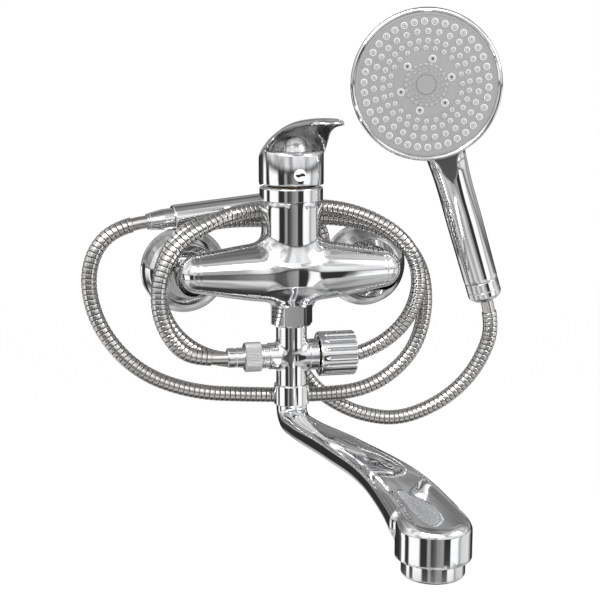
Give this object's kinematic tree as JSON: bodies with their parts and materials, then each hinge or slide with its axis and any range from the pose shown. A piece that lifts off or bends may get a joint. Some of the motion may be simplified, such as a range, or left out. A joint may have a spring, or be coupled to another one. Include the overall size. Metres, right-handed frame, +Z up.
{
  "type": "wall-mounted bath mixer tap",
  "caption": "Wall-mounted chrome bath mixer with a lever on top, swinging spout, shower diverter, looped metal hose and round hand shower.",
  "frame": {"origin": "on the wall plane, midway between the two supply pipes", "axes": "+Z up, +Y into the wall, the tap stands out along -Y, +X to the right of a viewer who faces it"},
  "size_m": [0.3513, 0.3809, 0.3567],
  "materials": {
    "chrome": "polished chrome plate",
    "brass": "raw brass",
    "steel": "plain steel",
    "hose_steel": "chromed double-lock strip",
    "rubber": "black rubber",
    "cartridge_plastic": "off-white engineering plastic",
    "face_plastic": "light grey plastic",
    "nozzle_silicone": "pale grey silicone",
    "massage_silicone": "dark silicone",
    "insert_plastic": "light grey plastic",
    "button_plastic": "white plastic with a dark band",
    "aerator_plastic": "grey plastic"
  },
  "bodies": {
    "tap_body": {"eccentric_left": "brass", "eccentric_right": "brass", "wall_flange_left": "chrome", "wall_flange_right": "chrome", "union_nut_left": "chrome", "union_nut_right": "chrome", "union_washers": "rubber", "mixer_body": "chrome", "cartridge_body": "cartridge_plastic", "cartridge_seals": "rubber", "cartridge_nut": "brass", "neck_ring": "chrome", "outlet_nut": "chrome", "outlet_washer": "rubber", "diverter_tee": "chrome", "diverter_bonnet": "chrome", "spindle_seal": "rubber", "hose_nut": "chrome", "hose_washer": "rubber", "hose_ferrule": "chrome", "swivel_ring": "chrome", "first_hose": "hose_steel", "cone_nut": "chrome", "inline_tube": "chrome", "second_hose": "hose_steel"},
    "lever_turret": {"cartridge_turret": "cartridge_plastic", "turret_pin": "steel"},
    "lever": {"cartridge_stem": "brass", "lever_handle": "chrome", "lever_screw": "steel", "index_button": "button_plastic"},
    "diverter": {"diverter_spindle": "brass", "diverter_knob": "chrome", "knob_screw": "steel", "knob_plug": "chrome"},
    "spout": {"spout": "chrome", "tail_seals": "rubber", "aerator_ring": "chrome", "aerator_insert": "aerator_plastic", "aerator_washer": "rubber"},
    "hand_shower": {"grip_nut": "chrome", "handset_body": "chrome", "handset_connector": "brass", "connector_washer": "rubber"},
    "spray_plate": {"spray_rim": "chrome", "spray_face": "face_plastic", "rain_nozzles": "nozzle_silicone", "massage_nozzles": "massage_silicone", "mist_insert": "insert_plastic", "mist_nozzles": "nozzle_silicone", "centre_cap": "insert_plastic"}
  },
  "joints": [
    {"name": "lever_temperature", "type": "hinge", "parent": "tap_body", "child": "lever_turret", "pos_m": [0, -0.07, 0.062], "axis": [0, 0, 1], "range_deg": [-41, 49]},
    {"name": "lever_flow", "type": "hinge", "parent": "lever_turret", "child": "lever", "pos_m": [0, -0.07, 0.062], "axis": [-0.9976, -0.0698, 0], "range_deg": [0, 20]},
    {"name": "diverter_turn", "type": "hinge", "parent": "tap_body", "child": "diverter", "pos_m": [0.037, -0.07, -0.0625], "axis": [1, 0, 0], "range_deg": [0, 180]},
    {"name": "spout_swing", "type": "hinge", "parent": "tap_body", "child": "spout", "pos_m": [0, -0.07, -0.09], "axis": [0, 0, 1], "range_deg": [-65, 65]},
    {"name": "hand_shower_swivel", "type": "hinge", "parent": "tap_body", "child": "hand_shower", "pos_m": [0.1721, -0.0547, -0.0242], "axis": [-0.3286, -0.1022, 0.9389], "range_deg": [-15, 15]},
    {"name": "spray_choice", "type": "hinge", "parent": "hand_shower", "child": "spray_plate", "pos_m": [0.10756, -0.08003, 0.15494], "axis": [-0.3045, -0.9524, 0.0112], "range_deg": [-45, 45]}
  ]
}
